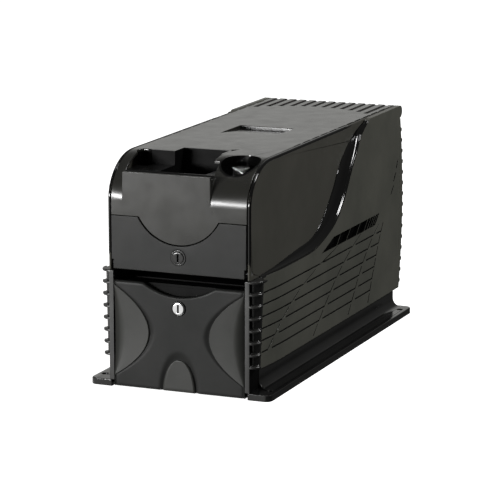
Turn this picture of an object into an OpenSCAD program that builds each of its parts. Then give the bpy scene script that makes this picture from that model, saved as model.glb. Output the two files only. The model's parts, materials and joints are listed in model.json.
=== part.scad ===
// Bill validator: a flanged base tray carries a slide-out cash box, a hinged front door,
// a rear-hinged hood with the note inlet, and a belt-driven note transport.
// X is the width, Y the depth with the front face at -Y, Z is up.

/* [Body] */
// Width over the raised side shells
body_w = 141; // [130:0.5:175]
// Depth from the front face to the rear edge of the side shells
body_d = 369; // [340:1:445]
// Height of the hood above the table
case_h = 202.8; // [196:0.2:244]
// Thickness of the raised side shells
shell_step = 4.5; // [3:0.5:6]
// Thickness of the smooth side panels
panel_t = 2.3; // [1.8:0.1:3]
// Pitch of the ribs on the posts and on the rear cover
rib_pitch = 10.6; // [9:0.1:11]

/* [Base] */
// How far each bolting flange stands out beyond the side shell
flange_ledge = 14.5; // [14:0.5:24]
// Thickness of the bolting flanges
flange_t = 6; // [4:0.5:8]
// Length of the base flange
flange_d = 368; // [330:1:368]
// Radius of the four bolting holes
bolt_hole_r = 2.75; // [2:0.05:3.5]
// Distance of the bolting holes from the flange ends
bolt_inset_y = 17; // [12:0.5:30]
// Distance of the bolting holes from the flange sides
bolt_inset_x = 6.5; // [6:0.1:7.5]
// Height of the base wall under the side shells
base_h = 23.5; // [20:0.5:24]

/* [Cash box] */
// Height of the cash box front
cash_h = 94.9; // [79:0.1:100]
// Length of the cash box
cash_d = 250; // [240:1:290]
// How far the cash box slides out
cash_travel = 220; // [120:1:230]
// Wall thickness of the cash box
cash_wall = 2; // [1.5:0.1:3]
// Stroke of the stacker plate
stack_stroke = 18; // [8:1:20]
// Travel of the sprung pressure plate
pressure_travel = 34; // [15:1:36]

/* [Front] */
// Height of the note return slot between cash box and door
return_gap = 10.5; // [8:0.5:12]
// Height of the front door
door_h = 46.6; // [44:0.1:48]
// Radius of the hood tongue that dips into the door
tongue_r = 42.1; // [35:0.1:51]
// How far the tongue dips below the top of the door
tongue_drop = 22; // [18:0.5:23]
// Radius of the key lock faces
key_r = 6.2; // [5:0.1:6.5]

/* [Hood] */
// Wall thickness of the hood
hood_t = 2.5; // [2:0.1:3]
// Depth of the rounded nose
nose_d = 50; // [46:1:54]
// Height of the rounded nose
nose_h = 38; // [34:1:42]
// Width of the flat front plate and note inlet
inlet_w = 82; // [74:1:84]
// Sideways offset of the note inlet
inlet_x = -11.3; // [-12:0.1:-10]
// Radius of the round lock well
well_r = 17; // [14:0.1:19]
// Radius of the lock knob in the well
knob_r = 7; // [6:0.5:10]
// Largest opening angle of the hood
hood_open = 60; // [20:5:70]

/* [Transport] */
// Radius of the rubber drive rollers
drive_r = 9; // [8:0.5:9.5]
// Radius of the pinch rollers
pinch_r = 7; // [6:0.5:7.5]
// Radius of the roller shafts
shaft_r = 3; // [2:0.5:3.5]
// Teeth on the drive gear
gear_teeth = 36; // [30:2:38]
// Teeth on the motor pinion
pinion_teeth = 12; // [12:2:16]
// Gear module
gear_mod = 1; // [0.8:0.1:1]

/* [Fits] */
// Gap around moving covers
seam = 0.4; // [0.3:0.05:0.6]
// Radial clearance of running shafts
run_fit = 0.05; // [0.02:0.01:0.09]

/* [Hidden] */
$fn = 64;
eps = 0.01;
plastic = [0.10, 0.10, 0.10];
steel = [0.62, 0.63, 0.65];

// Half widths, from the outside in
half_shell = body_w / 2;
half_front = half_shell - shell_step;
half_bay = half_front - panel_t;
half_hood = half_bay - seam;
half_flange = half_shell + flange_ledge;
half_post = half_front - 4.5;
half_cash = half_post - 0.2;
half_door = half_post - 0.3;

// Heights of the front, from the table up
tray_t = 3;
cash_lift = 1;
door_z = cash_h + return_gap;
door_top = door_z + door_h;
tongue_z = door_top - tongue_drop + tongue_r;
post_h = door_z - 1.7;
nose_z = case_h - nose_h;
inlet_z = case_h - 12;

// Bowed rear cover
lock_proud = 1.2;
rear_rib_r = 2;
rear_bow = 8.5;
rear_top = case_h - 12.2;
rear_mid = (rear_top + base_h) / 2;
rear_ribs = floor((rear_top - base_h - 5) / rib_pitch);
function rear_y(z) = body_d + 1 + rear_bow * (1 - pow((z - rear_mid) / (rear_top - rear_mid), 2));
function rear_rib_z(i) = base_h + 5 + rib_pitch * (i + 0.2);
overall_rear = max([for (i = [0:rear_ribs - 1]) rear_y(rear_rib_z(i)) + rear_rib_r]);
mid_y = (overall_rear - lock_proud) / 2;

// Hood hinge
hinge_y = body_d;
hinge_z = case_h - 5.8;
lip_r = 5.8;
pin_r = 1.5;

// Note transport
path_y = 30.4;
drive_y = path_y + drive_r - 0.4;
pinch_y = drive_y - drive_r - pinch_r - 0.5;
deck_z = cash_h + 3.1;
deck_t = 2;
low_z = door_z + 19.6;
high_z = case_h - 44.8;
frame_in = inlet_w / 2 + 7.5;
frame_t = 1.5;
frame_top = high_z + 10;
roller_x = inlet_w * 0.3;
roller_w = 10;
gear_x = inlet_x + frame_in + frame_t + 2.5;
gear_w = 5;
pulley_x = gear_x + gear_w + 1.5;
pulley_w = 6;
pulley_r = 8;
belt_t = 1.2;
bush_r = shaft_r + 2;
tooth_h = 0.75 * gear_mod;
motor_y = drive_y + (gear_teeth + pinion_teeth) * gear_mod / 2 + 0.15;
motor_r = 12;
motor_l = 38;

// Cash box inside
half_box = half_cash - 1.8;
box_z = 4.5;
box_top = cash_h - 2.9;
stack_y0 = 35;
stack_y1 = 225;
lip_z = box_top - 20;
press_z = lip_z - 9.5;

// Swept rim of the raised shell, as depth and height
rim = [[275.7, 199.2], [259.6, 190.2], [247, 176.2], [234.5, 162.4], [219, 142.4],
  [203.7, 128], [190, 119.5], [173, 112.9], [154.7, 107.8], [136.7, 104.6], [110, 103.4], [20.2, 103.4]];
// Swept edge of the smooth panel that the cove runs down to
sweep = [[280, 200.6], [264, 197], [245, 190], [226, 179], [210, 166], [198, 151], [183, 137],
  [159, 120], [138, 113.6], [111, 111.5], [77, 108.4], [20.2, 104.6]];
rim_h = case_h - 202.8;
function lifted(p) = [for (q = p) [q[0], q[1] + rim_h * max(0, (q[1] - 103.4) / 99.4)]];

// Curved lines of dashed slots: depth at the bottom, slope, and growth with height
dash_lines = [[18.7, 1.30, 3.6e-6], [138, 1.31, 1.2e-6], [228, 0.86, 0.87e-6], [281, 0.52, 0.18e-6]];
dash_z0 = base_h + 3;
dash_pitch = 10.35;
dash_h = 8.2;
dash_w = 1.4;
function dash_y(l, t) = l[0] + l[1] * t + l[2] * pow(t, 4);

// Points on an ellipse about [cx, cy]
function arc(cx, cy, rx, ry, a0, a1, n) =
  [for (i = [0:n]) let (a = a0 + (a1 - a0) * i / n) [cx + rx * cos(a), cy + ry * sin(a)]];

// Moves a model drawn with its front face at y = 0 onto the centred origin
module seat() { translate([0, -mid_y, 0]) children(); }
// Extrudes an outline of [depth, height] points from x = x0 to x = x1
module slab(x0, x1) {
  translate([x0, 0, 0]) rotate([90, 0, 90]) linear_extrude(x1 - x0) children();
}
module block(x0, x1, y0, y1, z0, z1) { translate([x0, y0, z0]) cube([x1 - x0, y1 - y0, z1 - z0]); }
module x_rod(x0, x1, y, z, r) { translate([x0, y, z]) rotate([0, 90, 0]) cylinder(h = x1 - x0, r = r); }
module y_rod(x, y0, y1, z, r) { translate([x, y0, z]) rotate([-90, 0, 0]) cylinder(h = y1 - y0, r = r); }
module both_sides() { children(); mirror([1, 0, 0]) children(); }
module bolt_holes(r, z0, h) {
  for (sx = [-1, 1], y = [bolt_inset_y, flange_d - bolt_inset_y])
    translate([sx * (half_flange - bolt_inset_x), y, z0]) cylinder(h = h, r = r);
}

// ---- Base ----
module base_tray() {
  wall_x = half_front + 0.5;
  cove = 8;
  color(plastic) seat() difference() {
    union() {
      linear_extrude(flange_t) difference() {
        rounded_plate(half_flange, flange_d, 6);
        translate([-half_bay, -1]) square([2 * half_bay, flange_d - 2]);
      }
      block(-half_bay, half_bay, 8, flange_d - 3, 1, tray_t);
      both_sides() rotate([90, 0, 180]) linear_extrude(flange_d - 2.5)
        difference() {
          polygon([[half_bay, 1], [wall_x + cove, 1], [wall_x + cove, flange_t], [wall_x, flange_t + cove],
            [wall_x, base_h], [half_bay, base_h]]);
          translate([wall_x + cove, flange_t + cove]) circle(r = cove);
        }
      block(-half_bay, half_bay, flange_d - 3.5, flange_d - 0.5, 1, base_h);
    }
    bolt_holes(bolt_hole_r, -1, flange_t + 2);
    // Room for the front posts
    both_sides() block(half_post - 1, half_front + 20, -1, post_d + 0.1, flange_t, base_h + 1);
    both_sides() for (y = foot_y) translate([foot_x, y, 0.9]) cylinder(h = 1, r = foot_r);
  }
}
foot_r = 5;
foot_x = half_bay - 8;
foot_y = [40, flange_d - 40];
module rounded_plate(hw, d, r) {
  union() {
    translate([-hw, r]) square([2 * hw, d - 2 * r]);
    translate([r - hw, 0]) square([2 * (hw - r), d]);
    for (sx = [-1, 1], y = [r, d - r]) translate([sx * (hw - r), y]) circle(r = r);
  }
}
module rubber_feet() {
  color([0.05, 0.05, 0.05]) seat()
    both_sides() for (y = foot_y) translate([foot_x, y, 0]) cylinder(h = 1.9, r = foot_r);
}

// ---- Front posts ----
post_d = 20;
post_ribs = 8;
function post_rib_z(i) = post_h - 1 - rib_pitch * (post_ribs - 1 - i);
// Tapered half-round column behind the ribs, from its radius at the foot to the one at the top
col_y0 = 5;
col_foot_r = 5.3;
col_top_r = (post_d - col_y0) / 2;
col_z0 = post_rib_z(0) - 1.1;
function col_r(z) = col_foot_r + (col_top_r - col_foot_r) * (z - col_z0) / (post_h - col_z0);
module column() {
  n = 16;
  rings = [for (z = [col_z0, post_h])
    [for (p = arc(half_front - eps, col_y0 + col_r(z), col_r(z), col_r(z), -90, 90, n)) [p[0], p[1], z]]];
  w = n + 1;
  sides = [for (k = [0:n]) let (a = k, b = (k + 1) % w) each [[a, b + w, b], [a, a + w, b + w]]];
  polyhedron(points = concat(rings[0], rings[1]),
    faces = concat(sides, [[for (k = [0:n]) k], [for (k = [n:-1:0]) w + k]]));
}
module post() {
  color(plastic) seat() {
    slab(half_post, half_front) polygon([[0, flange_t], [post_d, flange_t], [post_d, post_h], [0, post_h]]);
    column();
    for (i = [0:post_ribs - 1]) let (z = post_rib_z(i), r = col_r(z), cap = i == post_ribs - 1)
      translate([0, 0, z - 1.1]) linear_extrude(cap ? 2.1 : 2.2) polygon(concat([[half_front - eps, 0]],
        arc(half_front, col_y0 + r, r + 2.8, col_y0 + r, -90, cap ? 20 : -18, 10),
        [[half_front + r - 0.5, col_y0 + r], [half_front - eps, col_y0 + 2 * r - 1]]));
  }
}
module right_post() { post(); }
module left_post() { mirror([1, 0, 0]) post(); }

// ---- Sides ----
function nose(d, h, n) = [for (i = [0:n]) let (a = 90 * i / n) [nose_d - d * cos(a), nose_z + h * sin(a)]];
module side_outline() {
  polygon(concat([[post_d + 0.2, base_h], [post_d + 0.2, post_h + 0.2], [0.7, post_h + 0.2]],
    nose(nose_d - 0.7, nose_h, 20), arc(hinge_y, hinge_z, lip_r, lip_r, 90, -90, 12), [[body_d, base_h]]));
}
module side_panel() {
  color(plastic) seat() difference() {
    slab(half_bay, half_front) side_outline();
    x_rod(half_bay - 1, half_front + 1, hinge_y, hinge_z, pin_r);
    x_rod(half_bay - 1, half_front + 1, door_pin_y, door_pin_z, pin_r);
    for (z = screw_z) x_rod(half_bay - 1, half_front + 1, screw_y, z, screw_r + 0.3);
  }
}
module right_panel() { side_panel(); }
module left_panel() { mirror([1, 0, 0]) side_panel(); }

module shell_outline() {
  polygon(concat([[post_d + 0.2, base_h]], [for (i = [len(rim) - 1:-1:0]) lifted(rim)[i]],
    [[285, case_h]], arc(hinge_y, hinge_z, lip_r, lip_r, 90, -90, 12), [[body_d, base_h]]));
}
// Plan of the shell's outer skin: it thickens from its front edge back
front_step = 1.8;
swell_d = 50;
skin = [for (i = [0:8])
  [half_front + front_step + (shell_step - front_step) * sin(90 * i / 8), post_d + swell_d * i / 8]];
groove_deep = 0.5;
groove_h = 1.2;
// Everything outside a surface that lies one groove depth under the skin
module groove_room() {
  translate([0, 0, dash_z0]) linear_extrude(8 * dash_pitch) polygon(concat(
    [for (p = skin) [p[0] - groove_deep, p[1]]],
    [[half_shell - groove_deep, body_d], [half_shell + 1, body_d], [half_shell + 1, post_d]]));
}
// Vent band: one long opening crossed by slanted bars that crowd towards the rear
vent_z0 = 98;
vent_z1 = 107.5;
vent_slant = 11;
vent_tip = 160;
vent_y = [198, 223, 249, 270, 278, 285, 291, 296.5, 301.5];
vent_bar = 1.2;
module vent_openings() {
  polygon([[vent_tip, vent_z0], [vent_y[0] - vent_bar, vent_z0],
    [vent_y[0] + vent_slant - vent_bar, vent_z1], [vent_y[0] - 8, vent_z1]]);
  for (i = [0:len(vent_y) - 2]) polygon([[vent_y[i], vent_z0], [vent_y[i + 1] - vent_bar, vent_z0],
    [vent_y[i + 1] + vent_slant - vent_bar, vent_z1], [vent_y[i] + vent_slant, vent_z1]]);
}
module side_shell() {
  color(plastic) seat() difference() {
    intersection() {
      slab(half_front, half_shell) shell_outline();
      translate([0, 0, base_h - 1]) linear_extrude(case_h) polygon(concat([[half_front - 1, post_d]],
        skin, [[half_shell, body_d + 20], [half_front - 1, body_d + 20]]));
    }
    x_rod(half_front - 1, half_shell - 1.5, hinge_y, hinge_z, pin_r);
    slab(half_front - 1, half_shell + 1) {
      vent_openings();
      for (l = dash_lines, i = [0:6]) {
        t0 = dash_pitch * i;
        t1 = t0 + dash_h;
        if (dash_y(l, t0) > post_d + 1.5)
          polygon([[dash_y(l, t0), dash_z0 + t0], [dash_y(l, t0) + dash_w, dash_z0 + t0],
            [dash_y(l, t1) + dash_w, dash_z0 + t1], [dash_y(l, t1), dash_z0 + t1]]);
      }
      // Short dashes at the upper rear
      for (i = [0:2]) polygon([[343 + 7.5 * i, 120 + 11.5 * i], [345 + 7.5 * i, 120 + 11.5 * i],
        [353 + 6 * i, 127.5 + 11.5 * i], [351 + 6 * i, 127.5 + 11.5 * i]]);
    }
    // Shallow horizontal grooves that run into the foot of each slot
    intersection() {
      groove_room();
      union() for (i = [1:6], l = [0:len(dash_lines) - 1]) {
        y0 = l == 0 ? post_d + 2 : dash_y(dash_lines[l - 1], dash_pitch * i) + 10;
        y1 = dash_y(dash_lines[l], dash_pitch * i) + dash_w / 2;
        z0 = dash_z0 + dash_pitch * i + 0.1;
        if (y1 - y0 > 6) block(half_front, half_shell + 1, y0, y1, z0, z0 + groove_h);
      }
    }
  }
}
module right_shell() { side_shell(); }
module left_shell() { mirror([1, 0, 0]) side_shell(); }

// Concave strip swept between the smooth panel and the rim of the raised shell
module cove_strip() {
  n = len(rim);
  m = 6;
  r = lifted(rim);
  s = lifted(sweep);
  function part_of(i) = i == n - 1 ? 0.35 : 0.95;
  // Profile from the panel edge up to the rim, dipping like a quarter round
  function ring(i) = concat(
    [for (k = [0:m]) let (a = 90 * k / m, u = sin(a), v = 1 - cos(a))
      [half_front + shell_step * part_of(i) * v + 0.1, s[i][0] + (r[i][0] - s[i][0]) * u * 0.999,
       s[i][1] + (r[i][1] - s[i][1]) * u * 0.999]],
    [[half_front + 0.02, s[i][0] + (r[i][0] - s[i][0]) * 0.999, s[i][1] + (r[i][1] - s[i][1]) * 0.999],
     [half_front + 0.02, s[i][0], s[i][1]]]);
  w = m + 3;
  points = [for (i = [0:n - 1]) each ring(i)];
  sides = [for (i = [0:n - 2], k = [0:w - 1]) let (a = i * w + k, b = i * w + (k + 1) % w)
    each [[a, b, b + w], [a, b + w, a + w]]];
  caps = [[for (k = [w - 1:-1:0]) k], [for (k = [0:w - 1]) (n - 1) * w + k]];
  color([0.04, 0.04, 0.04]) seat() polyhedron(points = points, faces = concat(sides, caps));
}
module right_cove() { cove_strip(); }
module left_cove() { mirror([1, 0, 0]) cove_strip(); }

// ---- Rear ----
screw_z = [base_h + 12, rear_mid, rear_top - 12];
rear_wall = 2.5;
rear_steps = [for (i = [0:16]) base_h + (rear_top - base_h) * i / 16];
connector_hole = [-30, 10, body_d - 2, body_d + 30, base_h + 14, base_h + 34];
module rear_cover() {
  color(plastic) seat() difference() {
    slab(-half_shell, half_shell) polygon(concat([[body_d + eps, base_h]],
      [for (z = rear_steps) [rear_y(z), z]], [[body_d + eps, rear_top]]));
    rear_room(body_d - 1);
    connector_opening();
  }
}
// Room inside the bowed cover, from y = y0 back to its inner face
module rear_room(y0) {
  t = rear_wall;
  slab(t - half_shell, half_shell - t) polygon(concat([[y0, base_h + t]],
    [for (z = rear_steps) [rear_y(z) - t, min(max(z, base_h + t), rear_top - t)]], [[y0, rear_top - t]]));
}
module connector_opening() {
  block(connector_hole[0], connector_hole[1], connector_hole[2], connector_hole[3],
    connector_hole[4], connector_hole[5]);
}
// Half-round ribs that stand on the outside of the rear cover
module rear_ribs() {
  color(plastic) seat() for (i = [0:rear_ribs - 1]) difference() {
    x_rod(-half_shell, half_shell, rear_y(rear_rib_z(i)), rear_rib_z(i), rear_rib_r);
    slab(-half_shell - 1, half_shell + 1) polygon(concat([[body_d - 5, base_h]],
      [for (z = rear_steps) [rear_y(z), z]], [[body_d - 5, rear_top]]));
    connector_opening();
  }
}
// Bosses inside the rear corners that the cover screws grip
boss_w = 6;
boss_h = 8;
screw_r = 1.3;
screw_y = body_d - 8;
module cover_bosses() {
  color(plastic) seat() both_sides() for (z = screw_z) difference() {
    intersection() {
      block(half_bay - boss_w, half_bay, screw_y - 5, overall_rear, z - boss_h / 2, z + boss_h / 2);
      rear_room(screw_y - 6);
    }
    x_rod(half_bay - boss_w + 0.5, half_bay + 1, screw_y, z, screw_r);
  }
}
module rear_connector() {
  color([0.2, 0.2, 0.2]) seat() difference() {
    block(-29.7, 9.7, body_d - 6, body_d + 3, base_h + 14.3, base_h + 33.7);
    block(-26, 6, body_d - 3, body_d + 4, base_h + 18, base_h + 30);
  }
}
module cover_screws() {
  color(steel) seat() both_sides() for (z = screw_z) {
    x_rod(half_bay - boss_w + 1, half_front, screw_y, z, screw_r);
  }
}
module hinge_pin() {
  color(steel) seat() x_rod(-half_shell + 1.5, half_shell - 1.5, hinge_y, hinge_z, pin_r);
}

// ---- Hood ----
plate_x0 = inlet_x - inlet_w / 2;
plate_x1 = inlet_x + inlet_w / 2;
well_x = plate_x1 - 2.2 + well_r;
well_y = 33;
well_ry = well_r + 1.5;
well_floor = case_h - 24;
well_t = 1.5;
pocket_x0 = inlet_x - 13;
pocket_x1 = inlet_x + 30.5;
pocket_y0 = 15;
pocket_y1 = 68;
pocket_t = 1.5;
pocket_z = case_h - 26;
slot_y0 = 3.4;
slot_y1 = 8.2;
recess_y1 = 50;
// Rear end of the recess beside the well
side_y1 = well_y - 2;
notch_x = plate_x0 + 2;
notch_y = 43;
notch_r = 7;
module hood_profile() {
  polygon(concat([[0.5, door_top + seam]], nose(nose_d - 0.5, nose_h, 20), [[hinge_y, case_h],
    [hinge_y, case_h - hood_t]], [for (i = [20:-1:0]) nose(nose_d - 0.5 - hood_t, nose_h - hood_t, 20)[i]],
    [[0.5 + hood_t, door_top + seam]]));
}
// Everything that is cut out of the hood and of the tray under it
module inlet_slot() { block(plate_x0 + 2, plate_x1 - 2, slot_y0, slot_y1, nose_z - 20, case_h + 1); }
module recess_space() {
  block(plate_x0 - 2.5, pocket_x1 + pocket_t, slot_y1 + 1.8, recess_y1, inlet_z - 0.5, case_h + 1);
  block(pocket_x0, plate_x1 - 2, slot_y1 + 1.8, side_y1, inlet_z - 0.5, case_h + 1);
  block(plate_x0 - 2.5, plate_x1 - 2, 0, slot_y1 + 2, inlet_z, case_h + 1);
  translate([notch_x, notch_y, inlet_z - 10]) cylinder(h = 30, r = notch_r);
}
module pocket_space(edge, z0) {
  block(pocket_x0 - edge, pocket_x1 + edge, pocket_y0 - edge, pocket_y1 + edge, z0, case_h + 1);
}
module well_space(edge, z0, h) {
  translate([well_x, well_y, z0]) linear_extrude(h) scale([1, (well_ry + edge) / (well_r + edge)])
    circle(r = well_r + edge);
}
module hood() {
  color(plastic) seat() difference() {
    union() {
      slab(-half_hood, half_hood) hood_profile();
      x_rod(-half_hood, half_hood, hinge_y, hinge_z, lip_r);
      // Flat front plate with its end walls
      block(plate_x0, plate_x1, 0.5, slot_y0, door_top + seam, inlet_z);
      block(plate_x0, plate_x0 + 2, 0.5, 14, nose_z, inlet_z - 2.5);
      block(plate_x1 - 2, plate_x1, 0.5, 14, nose_z, inlet_z - 2.5);
      // Tongue that dips into the door
      intersection() {
        y_rod(0, 0.5, 0.5 + hood_t, tongue_z, tongue_r);
        block(-tongue_r, tongue_r, 0, 10, 0, door_top + 1);
      }
      // Pan under the finger recess
      block(-grip_w / 2 - 2, grip_w / 2 + 2, grip_y0 + 4, grip_y1 + 2, case_h - grip_deep - 2, case_h - 1);
    }
    inlet_slot();
    recess_space();
    pocket_space(pocket_t, inlet_z - 4.5);
    block(plate_x0, plate_x1 - 2, slot_y0, side_y1, inlet_z - 2.5, inlet_z + 1);
    block(plate_x0 - 2.5, pocket_x1 + pocket_t, slot_y1 + 4, recess_y1, inlet_z - 2.5, inlet_z);
    well_space(well_t, well_floor - 3, 60);
    // Small notch beside the pocket
    translate([0, 0, case_h - 5]) linear_extrude(6)
      polygon([[pocket_x1, pocket_y1 - 8], [pocket_x1 + 5, pocket_y1 + 8], [pocket_x1, pocket_y1 + 5]]);
    // Finger recess, deepest at its rear wall
    slab(-grip_w / 2, grip_w / 2) polygon([[grip_y0, case_h], [grip_y1, case_h - grip_deep],
      [grip_y1, case_h + 1], [grip_y0, case_h + 1]]);
    // Slots at the rear and notches along both seams
    for (i = [0:5]) both_sides() let (x = rear_slot_pitch * (i + 0.5))
      block(x - rear_slot_w / 2, x + rear_slot_w / 2, body_d - 37 - 0.007 * x * x, body_d + 8,
        case_h - 1.2, case_h + 1);
    both_sides() for (i = [0:seam_notches - 1])
      block(half_hood - 1, half_hood + 1, 110 + 22 * i, 126 + 22 * i, case_h - 2.2, case_h + 1);
    x_rod(-half_hood - 1, half_hood + 1, hinge_y, hinge_z, pin_r + run_fit);
  }
}
// Stiffening rails under both long edges of the hood
module hood_rails() {
  color(plastic) seat() both_sides()
    block(half_hood - 2, half_hood, nose_d + 10, hinge_y - 12, case_h - 9, case_h - hood_t);
}
// Floor of the note recess with its cross bar and the deep pocket
module hood_tray() {
  floor_z = inlet_z - 2.5;
  color([0.04, 0.04, 0.04]) seat() difference() {
    intersection() {
      union() {
        block(plate_x0, plate_x1 - 2, slot_y1, side_y1, floor_z, inlet_z - 0.5);
        block(plate_x0 - 2.5, pocket_x1 + pocket_t, slot_y1 + 4, recess_y1, floor_z, inlet_z - 0.5);
        block(plate_x0 + 2, plate_x1 - 2, slot_y1, slot_y1 + 1.8, floor_z, inlet_z);
        block(plate_x0 - 2.5, pocket_x1, recess_y1 - pocket_t, recess_y1, floor_z, case_h);
        pocket_space_walls();
      }
      slab(-half_hood, half_hood) inner_nose(0.02);
    }
    pocket_space(0, pocket_z);
    well_space(well_t, well_floor - 3, 60);
    // Round notch in the rear left corner
    translate([notch_x, notch_y, inlet_z - 10]) cylinder(h = 30, r = notch_r);
    block(notch_x - notch_r, notch_x, notch_y, recess_y1 + 1, floor_z - 1, case_h + 1);
  }
}
module pocket_space_walls() {
  block(pocket_x0 - pocket_t, pocket_x1 + pocket_t, pocket_y0 - pocket_t, pocket_y1 + pocket_t,
    pocket_z - pocket_t, inlet_z - 2.5);
  block(pocket_x0 - pocket_t, pocket_x1 + pocket_t, recess_y1 - pocket_t, pocket_y1 + pocket_t,
    inlet_z - 2.5, case_h);
  block(pocket_x0 - pocket_t, pocket_x1 + pocket_t, pocket_y0 - pocket_t, recess_y1,
    inlet_z - 2.5, inlet_z - 0.5);
}
// Cup of the round lock well
module lock_well() {
  color([0.04, 0.04, 0.04]) seat() difference() {
    intersection() {
      well_space(well_t, well_floor - 2, 40);
      slab(-half_hood, half_hood) nose_solid();
    }
    well_space(0, well_floor, 60);
    translate([well_x, well_y, well_floor - 20]) cylinder(h = 60, r = lock_r + run_fit);
  }
}
grip_w = 52;
grip_y0 = 153;
grip_y1 = 200;
grip_deep = 3.5;
rear_slot_pitch = 10.2;
rear_slot_w = 4;
seam_notches = floor((body_d - 125) / 22);
lock_r = 6;
// The nose and the front of the top as one solid outline, and the same drawn in by a gap
module inner_nose(gap) {
  polygon(concat([[1, door_top + 1]], nose(nose_d - 0.5 - gap, nose_h - gap, 20),
    [[120, case_h - gap], [120, door_top + 1]]));
}
module nose_solid() {
  polygon(concat([[0.5, door_top + 1]], nose(nose_d - 0.5, nose_h, 20),
    [[120, case_h], [120, door_top + 1]]));
}
module well_ring() {
  color(steel) seat() translate([well_x, well_y, well_floor]) difference() {
    cylinder(h = 2, r = well_r - 3);
    translate([0, 0, -1]) cylinder(h = 4, r = knob_r + 1);
  }
}
knob_h = 16;
module lock_knob() {
  color([0.8, 0.8, 0.82]) seat() translate([well_x, well_y, 0]) difference() {
    union() {
      translate([0, 0, well_floor + 0.5]) cylinder(h = knob_h, r = knob_r);
      translate([0, 0, well_floor - 7]) cylinder(h = 8, r = lock_r);
      translate([0, 0, well_floor - 9]) linear_extrude(2) polygon([[-4, -3], [16, -4], [16, 4], [-4, 3]]);
    }
    for (i = [0:17]) rotate(i * 20) translate([knob_r + 0.5, 0, well_floor])
      cylinder(h = knob_h + 1, r = 0.85, $fn = 16);
    translate([-0.8, -3, well_floor + knob_h - 2]) cube([1.6, 6, 4]);
  }
}

// ---- Upper transport head, carried by the hood ----
head_in = inlet_w / 2 + 4;
head_t = 1.5;
head_z0 = door_z + 7;
path_gap = 1.4;
module upper_head() {
  color([0.25, 0.26, 0.28]) seat() difference() {
    union() {
      for (x = [inlet_x - head_in - head_t, inlet_x + head_in]) slab(x, x + head_t)
        polygon([[11, head_z0], [path_y - path_gap, head_z0], [path_y - path_gap, inlet_z - 3],
          [16, inlet_z - 3], [11, nose_z + 15.2]]);
      block(inlet_x - head_in, inlet_x + head_in, path_y - path_gap - head_t, path_y - path_gap,
        head_z0, pocket_z - 2);
    }
    for (z = [low_z, high_z]) {
      x_rod(inlet_x - head_in - 2, inlet_x + head_in + 2, pinch_y, z, pinch_shaft_r + run_fit);
      for (x = [-roller_x, roller_x])
        block(inlet_x + x - roller_w / 2 - 1, inlet_x + x + roller_w / 2 + 1, 20, path_y,
          z - pinch_r - 1, z + pinch_r + 1);
    }
    // Way through for the round lock well and the pocket
    block(pocket_x0 - 4, half_hood, 10, path_y, pocket_z - 2, case_h);
  }
}
pinch_shaft_r = 2;
module hood_sensor() {
  y1 = path_y - path_gap - head_t - 0.05;
  color([0.05, 0.3, 0.12]) seat() block(inlet_x - 18, inlet_x + 18, y1 - 1.65, y1, low_z + 11, high_z - 9);
}
module pinch_springs() {
  color(steel) seat() for (x = [inlet_x - head_in + 3, inlet_x + head_in - 5], z = [low_z, high_z])
    difference() {
      y_rod(x, 10.5, pinch_y - pinch_shaft_r - 0.1, z, 1.4);
      y_rod(x, 10, pinch_y, z, 0.8);
    }
}
module pinch_set(z) {
  color([0.15, 0.15, 0.15]) seat() {
    x_rod(inlet_x - head_in - 1.5, inlet_x + head_in + 1.5, pinch_y, z, pinch_shaft_r);
    for (x = [-roller_x, roller_x])
      x_rod(inlet_x + x - roller_w / 2, inlet_x + x + roller_w / 2, pinch_y, z, pinch_r);
  }
}
module lower_pinch() { pinch_set(low_z); }
module upper_pinch() { pinch_set(high_z); }

// ---- Front door ----
door_t = 3;
door_pin_y = 5.5;
door_pin_z = door_z + 4.6;
door_lock_z = door_z + 13.8;
door_edge = 1.8;
module front_door() {
  color(plastic) seat() difference() {
    union() {
      block(-half_door, half_door, 0, door_t, door_z, door_top);
      block(-half_door - door_edge, half_door + door_edge, 0, door_t, door_z + 8, door_top);
      both_sides() {
        x_rod(half_door - 8, half_door - 1.5, door_pin_y, door_pin_z, 2.4);
        block(half_door - 8, half_door - 1.5, 2, door_pin_y, door_pin_z - 2.4, door_pin_z + 2.4);
      }
    }
    y_rod(0, -1, door_t + 1, tongue_z, tongue_r + 0.7);
    both_sides() x_rod(half_door - 9, half_door, door_pin_y, door_pin_z, pin_r + run_fit);
    y_rod(0, -1, door_t + 1, door_lock_z, key_r + 0.8);
  }
}
module door_pins() {
  color(steel) seat() both_sides() x_rod(half_door - 7, half_front - 0.5, door_pin_y, door_pin_z, pin_r);
}
module door_bezel() {
  color([0.06, 0.06, 0.06]) seat() difference() {
    union() {
      y_rod(0, 0, 12, door_lock_z, key_r + 0.8);
      y_rod(0, -0.4, 0.0, door_lock_z, key_r + 0.8);
    }
    y_rod(0, -1, 13, door_lock_z, key_r - 1 + run_fit);
  }
}
module key_lock(z, cam_len) {
  difference() {
    union() {
      y_rod(0, -lock_proud, 14, z, key_r - 1);
      translate([0, 16, z]) rotate([90, 0, 0]) linear_extrude(2)
        polygon([[-5, 4], [-4, -cam_len], [4, -cam_len], [5, 4]]);
    }
    block(-0.7, 0.7, -lock_proud - 1, 2, z - 3.4, z + 3.4);
  }
}
module door_lock() { color([0.75, 0.75, 0.78]) seat() key_lock(door_lock_z, 11); }

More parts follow.
